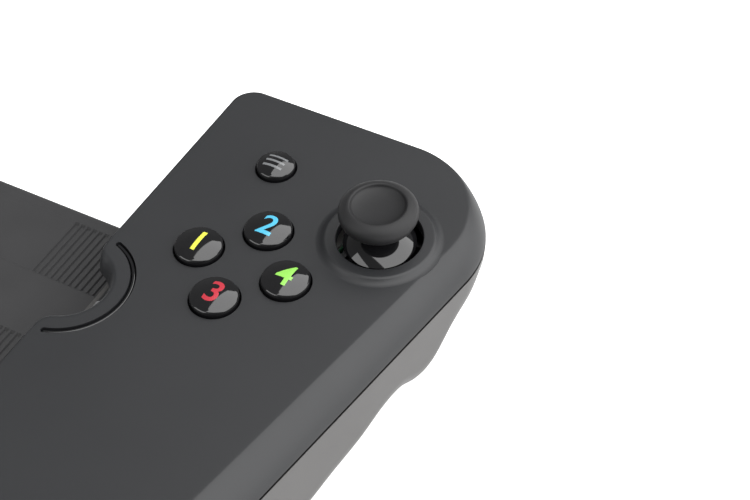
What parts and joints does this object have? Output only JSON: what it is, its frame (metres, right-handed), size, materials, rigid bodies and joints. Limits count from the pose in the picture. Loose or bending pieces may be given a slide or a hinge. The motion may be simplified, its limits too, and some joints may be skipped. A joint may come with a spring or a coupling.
{
  "type": "tablet game controller",
  "caption": "Clip-on game controller for a tablet: two hand grips with sticks, buttons, direction pad and triggers, joined by a flexible strap behind it.",
  "frame": {"origin": "middle between the two grips, level with the tablet's home button, at the underside of the rubber feet it lies on", "axes": "+X towards the right hand grip, +Y away from the player, towards the triggers, +Z out of the face with the buttons"},
  "size_m": [0.3616, 0.138, 0.0387],
  "materials": {
    "shell_face": "fine satin texture",
    "shell_rear": "satin",
    "gloss_black": "polished",
    "cap_rubber": "matte",
    "foot_rubber": "matte",
    "strap_rubber": "matte",
    "silicone": "matte",
    "steel": "satin",
    "inner_plastic": "satin",
    "circuit_board": "gloss",
    "cable": "satin"
  },
  "bodies": {
    "right_grip": {"right_top_shell": "shell_face", "right_bottom_shell": "shell_rear", "right_main_board": "circuit_board", "right_screws": "steel", "right_feet": "foot_rubber", "right_slot_liner": "foot_rubber", "right_stick_housing": "inner_plastic", "right_stick_sensors": "inner_plastic", "right_stick_spring": "steel", "right_trigger_pin": "steel", "right_trigger_spring": "steel", "right_strap_end": "strap_rubber", "right_strap_clamp": "steel", "button_mat": "silicone", "arc_insert": "gloss_black", "tablet_plug": "steel", "headphone_socket": "inner_plastic", "charging_socket": "steel", "socket_board": "circuit_board"},
    "bridge": {"bridge_strap": "strap_rubber", "bridge_cable": "cable"},
    "left_grip": {"left_top_shell": "shell_face", "left_bottom_shell": "shell_rear", "left_main_board": "circuit_board", "left_screws": "steel", "left_feet": "foot_rubber", "left_slot_liner": "foot_rubber", "left_stick_housing": "inner_plastic", "left_stick_sensors": "inner_plastic", "left_stick_spring": "steel", "left_trigger_pin": "steel", "left_trigger_spring": "steel", "left_strap_end": "strap_rubber", "left_strap_clamp": "steel", "direction_pad_mat": "silicone"},
    "right_bumper": {"right_bumper": "gloss_black"},
    "right_trigger": {"right_trigger": "shell_rear"},
    "right_stick_carrier": {"right_stick_carrier": "inner_plastic"},
    "right_stick_arch": {"right_stick_arch": "steel"},
    "right_stick": {"right_stick_stem": "gloss_black", "right_stick_cap": "cap_rubber"},
    "left_bumper": {"left_bumper": "gloss_black"},
    "left_trigger": {"left_trigger": "shell_rear"},
    "left_stick_carrier": {"left_stick_carrier": "inner_plastic"},
    "left_stick_arch": {"left_stick_arch": "steel"},
    "left_stick": {"left_stick_stem": "gloss_black", "left_stick_cap": "cap_rubber"},
    "face_button_lower": {"face_button_lower": "gloss_black"},
    "face_button_outer": {"face_button_outer": "gloss_black"},
    "face_button_inner": {"face_button_inner": "gloss_black"},
    "face_button_upper": {"face_button_upper": "gloss_black"},
    "menu_button": {"menu_button": "gloss_black"},
    "direction_pad_pivot": {"direction_pad_pivot": "steel"},
    "direction_pad": {"direction_pad": "gloss_black"}
  },
  "joints": [
    {"name": "right_fold", "type": "hinge", "parent": "right_grip", "child": "bridge", "pos_m": [0.1002, 0, 0.0134], "axis": [0, 1, 0], "range_deg": [-35, 35], "stiffness_Nm_per_rad": 0.3},
    {"name": "left_fold", "type": "hinge", "parent": "bridge", "child": "left_grip", "pos_m": [-0.1002, 0, 0.0134], "axis": [0, 1, 0], "range_deg": [-35, 35], "stiffness_Nm_per_rad": 0.3},
    {"name": "face_button_lower_press", "type": "slide", "parent": "right_grip", "child": "face_button_lower", "axis": [0, 0, -1], "range_m": [0, 0.001], "stiffness_N_per_m": 500, "springref_m": -0.002, "deforming": ["button_mat"]},
    {"name": "face_button_outer_press", "type": "slide", "parent": "right_grip", "child": "face_button_outer", "axis": [0, 0, -1], "range_m": [0, 0.001], "stiffness_N_per_m": 500, "springref_m": -0.002, "deforming": ["button_mat"]},
    {"name": "face_button_inner_press", "type": "slide", "parent": "right_grip", "child": "face_button_inner", "axis": [0, 0, -1], "range_m": [0, 0.001], "stiffness_N_per_m": 500, "springref_m": -0.002, "deforming": ["button_mat"]},
    {"name": "face_button_upper_press", "type": "slide", "parent": "right_grip", "child": "face_button_upper", "axis": [0, 0, -1], "range_m": [0, 0.001], "stiffness_N_per_m": 500, "springref_m": -0.002, "deforming": ["button_mat"]},
    {"name": "menu_button_press", "type": "slide", "parent": "right_grip", "child": "menu_button", "axis": [0, 0, -1], "range_m": [0, 0.0006], "stiffness_N_per_m": 500, "springref_m": -0.002, "deforming": ["button_mat"]},
    {"name": "right_bumper_press", "type": "slide", "parent": "right_grip", "child": "right_bumper", "axis": [0, -1, 0], "range_m": [0, 0.0008], "stiffness_N_per_m": 800, "springref_m": -0.002},
    {"name": "right_trigger_pull", "type": "hinge", "parent": "right_grip", "child": "right_trigger", "pos_m": [0.147, 0.0615, 0.0128], "axis": [-1, 0, 0], "range_deg": [0, 14], "stiffness_Nm_per_rad": 0.05, "springref_deg": -17.19},
    {"name": "right_stick_tilt_y", "type": "hinge", "parent": "right_grip", "child": "right_stick_carrier", "pos_m": [0.1617, 0.0394, 0.019], "axis": [1, 0, 0], "range_deg": [-18, 18], "stiffness_Nm_per_rad": 0.04},
    {"name": "right_stick_tilt_x", "type": "hinge", "parent": "right_stick_carrier", "child": "right_stick", "pos_m": [0.1617, 0.0394, 0.019], "axis": [0, 1, 0], "range_deg": [-18, 18], "stiffness_Nm_per_rad": 0.04},
    {"name": "right_stick_arch_tilt", "type": "hinge", "parent": "right_grip", "child": "right_stick_arch", "pos_m": [0.1617, 0.0394, 0.019], "axis": [0, 1, 0], "range_deg": [-18, 18]},
    {"name": "left_bumper_press", "type": "slide", "parent": "left_grip", "child": "left_bumper", "axis": [0, -1, 0], "range_m": [0, 0.0008], "stiffness_N_per_m": 800, "springref_m": -0.002},
    {"name": "left_trigger_pull", "type": "hinge", "parent": "left_grip", "child": "left_trigger", "pos_m": [-0.147, 0.0615, 0.0128], "axis": [-1, 0, 0], "range_deg": [0, 14], "stiffness_Nm_per_rad": 0.05, "springref_deg": -17.19},
    {"name": "left_stick_tilt_y", "type": "hinge", "parent": "left_grip", "child": "left_stick_carrier", "pos_m": [-0.1617, 0.0394, 0.019], "axis": [1, 0, 0], "range_deg": [-18, 18], "stiffness_Nm_per_rad": 0.04},
    {"name": "left_stick_tilt_x", "type": "hinge", "parent": "left_stick_carrier", "child": "left_stick", "pos_m": [-0.1617, 0.0394, 0.019], "axis": [0, 1, 0], "range_deg": [-18, 18], "stiffness_Nm_per_rad": 0.04},
    {"name": "left_stick_arch_tilt", "type": "hinge", "parent": "left_grip", "child": "left_stick_arch", "pos_m": [-0.1617, 0.0394, 0.019], "axis": [0, 1, 0], "range_deg": [-18, 18]},
    {"name": "direction_pad_tilt_y", "type": "hinge", "parent": "left_grip", "child": "direction_pad_pivot", "pos_m": [-0.1397, 0.0201, 0.0234], "axis": [1, 0, 0], "range_deg": [-4, 4], "stiffness_Nm_per_rad": 0.15, "deforming": ["direction_pad_mat"]},
    {"name": "direction_pad_tilt_x", "type": "hinge", "parent": "direction_pad_pivot", "child": "direction_pad", "pos_m": [-0.1397, 0.0201, 0.0234], "axis": [0, 1, 0], "range_deg": [-4, 4], "stiffness_Nm_per_rad": 0.15, "deforming": ["direction_pad_mat"]}
  ],
  "couplings": [
    {"joint": "right_stick_arch_tilt", "follows": "right_stick_tilt_x", "ratio": 1},
    {"joint": "left_stick_arch_tilt", "follows": "left_stick_tilt_x", "ratio": 1}
  ]
}
